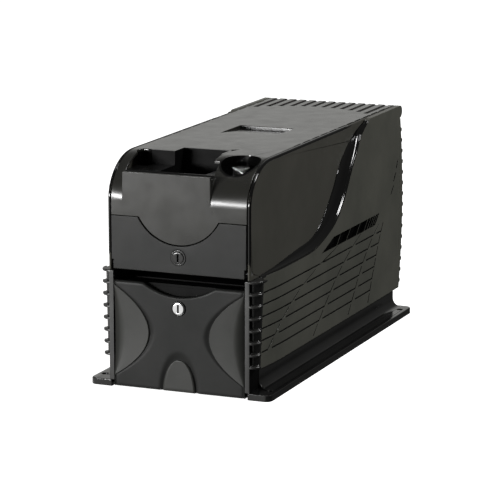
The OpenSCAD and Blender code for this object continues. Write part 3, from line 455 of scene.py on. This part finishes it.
def end_faces(rings, around):
    """The two end faces of a tube whose rings each hold the same number of points."""
    last = (rings - 1) * around
    return [tuple(range(around)), tuple(last + k for k in range(around))]


def tube_faces(rings, around):
    """Side and end faces of such a tube."""
    faces = [(r * around + k, r * around + (k + 1) % around, (r + 1) * around + (k + 1) % around,
        (r + 1) * around + k) for r in range(rings - 1) for k in range(around)]
    return faces + end_faces(rings, around)


def build_cove(side):
    """Glossy hollow swept between panel and shell, with a rounded bead along the rim."""
    low, high = HALF_FRONT / MM, HALF_SHELL / MM
    rings = []
    for r, s in zip(catmull(RIM, 5), catmull(SWEPT, 5)):
        rise = (high - low) * (1 - 0.55 * ease((SKIN_START + SKIN_RUN - r.x) / SKIN_RUN))
        out = (r - s).normalized()
        ring = []
        for k in range(11):
            a = math.radians(90 * k / 10)
            lift = COVE_FOOT + (rise - COVE_UNDER) * (1 - math.cos(a))
            ring.append((low + lift, s.lerp(r, math.sin(a) * 0.97)))
        for k in range(1, 8):
            a = math.radians(180 * k / 7)
            ring.append((low + rise - 0.25 + BEAD_RISE * math.sin(a), r + out * (0.9 - BEAD_R * math.cos(a))))
        ring.append((low + COVE_UNDER, ring[-1][1]))
        rings.append([(side * x, p.x, p.y) for x, p in ring])
    verts = [point for ring in rings for point in ring]
    cols = len(rings[0])
    # The underside closes each ring from its last point back to its first
    underside = [(r * cols, r * cols + cols - 1, (r + 1) * cols + cols - 1, (r + 1) * cols)
        for r in range(len(rings) - 1)]
    faces = grid_faces(len(rings), cols) + underside + end_faces(len(rings), cols)
    obj = shaped(sided("swept_trim", side), verts, faces, TRIM_GLOSS, "chassis")
    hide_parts(sided("cove", side))
    return obj


def turned(name, profile, x, z, mat, body, sides=48):
    """A piece turned about the Y axis from a profile of (radius, depth) points, closed on itself."""
    verts = []
    for i in range(sides):
        a = 2 * math.pi * i / sides
        verts += [(x + r * math.cos(a), y, z + r * math.sin(a)) for r, y in profile]
    n = len(profile)
    faces = [(i * n + k, i * n + (k + 1) % n, ((i + 1) % sides) * n + (k + 1) % n, ((i + 1) % sides) * n + k)
        for i in range(sides) for k in range(n)]
    return shaped(name, verts, faces, mat, body)


# Bead along each side panel's edge: its radius, and how far its centre lies inside the panel's outline
BEAD_TUBE, BEAD_INSET = 1.55, 1.45
NOSE_DEPTH, NOSE_HEIGHT, PANEL_FRONT = 50.0, 38.0, 0.7


def build_edge_bead(side):
    """Glossy rounded bead up the front edge of a side panel, round the nose and along the top."""
    x, top = HALF_FRONT / MM - 1.1, CASE_H / MM
    path = [Vector((PANEL_FRONT + BEAD_INSET, z)) for z in (107.5, 120, 135, 150)]
    for i in range(25):
        a = math.radians(90 * i / 24)
        path.append(Vector((NOSE_DEPTH - (NOSE_DEPTH - PANEL_FRONT - BEAD_INSET) * math.cos(a),
            top - NOSE_HEIGHT + (NOSE_HEIGHT - BEAD_INSET) * math.sin(a))))
    path += [Vector((y, top - BEAD_INSET)) for y in (60, 90, 130, 180, 230, 272)]
    verts, around = [], 16
    for i, p in enumerate(path):
        along = (path[min(i + 1, len(path) - 1)] - path[max(i - 1, 0)]).normalized()
        out = Vector((-along.y, along.x))
        size = BEAD_TUBE if 0 < i < len(path) - 1 else 0.4
        for k in range(around):
            a = 2 * math.pi * k / around
            q = p + out * (size * math.sin(a))
            verts.append((side * (x + size * math.cos(a)), q.x, q.y))
    return shaped(sided("edge_bead", side), verts, tube_faces(len(path), around), TRIM_GLOSS, "chassis")


# Outline of the painted-shade sheet behind a shell's slots, as depth and height, clear of the shell's edges
SHADE_SHEET_OUTLINE = [(24, 25.5), (345, 25.5), (362, 160), (330, 160), (200, 110), (150, 103), (24, 101)]


def build_slot_shade_sheet(side):
    """Near-black sheet of painted shade just inside a side shell, seen only through its slots and vents so
    they read dark.
    """
    panel = HALF_FRONT / MM
    verts = [(side * x, y, z) for x in (panel + 0.1, panel + 0.3) for y, z in SHADE_SHEET_OUTLINE]
    faces = tube_faces(2, len(SHADE_SHEET_OUTLINE))
    return shaped(sided("slot_shade_sheet", side), verts, faces, SHADE_BLACK, "chassis", False)


build_cash_front()
for side in (1, -1):
    build_cove(side)
for side in (1, -1):
    build_edge_bead(side)
for side in (1, -1):
    build_slot_shade_sheet(side)
turned("cash_lock_ring", [(5.25, 0.6), (5.25, -0.5), (5.5, -0.8), (6.0, -0.8), (6.7, -0.2), (6.7, 0.6)],
    0, CASH_LOCK_Z, LOCK_BLACK, "cash_box")


# ---------------------------------------------------------------- camera, light and floor
CAMERA_PLACE = Vector((0.9100, -2.2315, 0.5919))
CAMERA_AZIMUTH = math.radians(22.45)
CAMERA_DIP = math.radians(11.77)
CAMERA_LENS = 192.58
# Levels of the studio: the sweep that the top mirrors, the dark right side, and the ceiling
SWEEP, RIGHT_LOW, CEILING = 0.68, 0.05, 0.10
FLOOR_GLOW = 0.95


def add_camera():
    data = bpy.data.cameras.new("camera")
    data.lens = CAMERA_LENS
    data.sensor_width = 36.0
    data.clip_end = 50.0
    cam = bpy.data.objects.new("camera", data)
    bpy.context.scene.collection.objects.link(cam)
    look = Vector((-math.sin(CAMERA_AZIMUTH) * math.cos(CAMERA_DIP),
        math.cos(CAMERA_AZIMUTH) * math.cos(CAMERA_DIP), -math.sin(CAMERA_DIP)))
    cam.location = CAMERA_PLACE
    cam.rotation_mode = "QUATERNION"
    cam.rotation_quaternion = look.to_track_quat("-Z", "Y")
    bpy.context.scene.camera = cam


def add_area(name, place, target, size, power, size_y=None):
    data = bpy.data.lights.new(name, "AREA")
    data.shape = "RECTANGLE"
    data.size = size
    data.size_y = size_y or size
    data.energy = power
    lamp = bpy.data.objects.new(name, data)
    bpy.context.scene.collection.objects.link(lamp)
    lamp.location = place
    lamp.rotation_mode = "QUATERNION"
    lamp.rotation_quaternion = (Vector(target) - Vector(place)).to_track_quat("-Z", "Y")
    lamp.visible_camera = False
    return lamp


def add_floor():
    """White sweep under the object; the gloss of the plastic takes the softer studio instead of it."""
    bpy.ops.mesh.primitive_plane_add(size=40.0, location=(0, 0, cad_low.z))
    floor = bpy.context.object
    floor.name = "floor"
    mat, tree, shader = new_material("floor_white", (0.8, 0.8, 0.8), 0.9)
    shader.inputs["Specular IOR Level"].default_value = 0.0
    shader.inputs["Emission Color"].default_value = (1, 1, 1, 1)
    shader.inputs["Emission Strength"].default_value = FLOOR_GLOW
    floor.data.materials.append(mat)
    floor.visible_glossy = False
    floor.visible_diffuse = False


def add_world():
    """Dim studio: a pale sweep behind and to the left, a darker room to the right and overhead."""
    world = bpy.data.worlds.new("studio")
    world.use_nodes = True
    bpy.context.scene.world = world
    tree = world.node_tree
    background = tree.nodes["Background"]
    coords = tree.nodes.new("ShaderNodeTexCoord")
    split = tree.nodes.new("ShaderNodeSeparateXYZ")
    tree.links.new(coords.outputs["Generated"], split.inputs["Vector"])

    def ramp(source, stops):
        node = tree.nodes.new("ShaderNodeValToRGB")
        tree.links.new(source, node.inputs["Fac"])
        node.color_ramp.interpolation = "EASE"
        for extra in range(len(stops) - 2):
            node.color_ramp.elements.new(0.5)
        for element, (place, level) in zip(node.color_ramp.elements, stops):
            element.position = place
            element.color = (level, level, level * 0.97, 1)
        return node.outputs["Color"]

    def blend(factor, first, second):
        node = tree.nodes.new("ShaderNodeMix")
        node.data_type = "RGBA"
        tree.links.new(factor, node.inputs["Factor"])
        tree.links.new(first, node.inputs["A"])
        tree.links.new(second, node.inputs["B"])
        return node.outputs["Result"]

    def span(axis, low, high):
        node = tree.nodes.new("ShaderNodeMapRange")
        node.interpolation_type = "SMOOTHSTEP"
        node.inputs["From Min"].default_value = low
        node.inputs["From Max"].default_value = high
        tree.links.new(split.outputs[axis], node.inputs["Value"])
        return node.outputs["Result"]

    # Each ramp runs over the height of the view direction, from straight down to straight up
    height = tree.nodes.new("ShaderNodeMapRange")
    height.inputs["From Min"].default_value = -1.0
    tree.links.new(split.outputs["Z"], height.inputs["Value"])
    up = height.outputs["Result"]
    left = ramp(up, [(0.0, 0.7), (0.47, 0.85), (0.56, 0.35), (0.75, CEILING)])
    right = ramp(up, [(0.0, 0.08), (0.46, RIGHT_LOW), (0.55, 0.08), (0.75, CEILING)])
    back = ramp(up, [(0.42, RIGHT_LOW), (0.5, SWEEP * 0.6), (0.56, SWEEP), (0.85, CEILING)])
    behind = blend(span("X", -0.22, 0.12), back, right)
    sides = blend(span("X", -0.15, 0.25), left, right)
    tree.links.new(blend(span("Y", 0.35, 0.75), sides, behind), background.inputs["Color"])


add_camera()
add_floor()
add_world()
add_area("front_strip", (-1.27, -2.19, 0.36), (0, 0, 0.17), 1.05, 66, 0.30)
add_area("right_top", (1.7, 0.45, 1.6), (0, 0, 0.1), 0.5, 30)
add_area("overhead", (0.0, -0.2, 3.0), (0, 0, 0.1), 1.0, 10)
bpy.context.scene.view_settings.view_transform = "Standard"
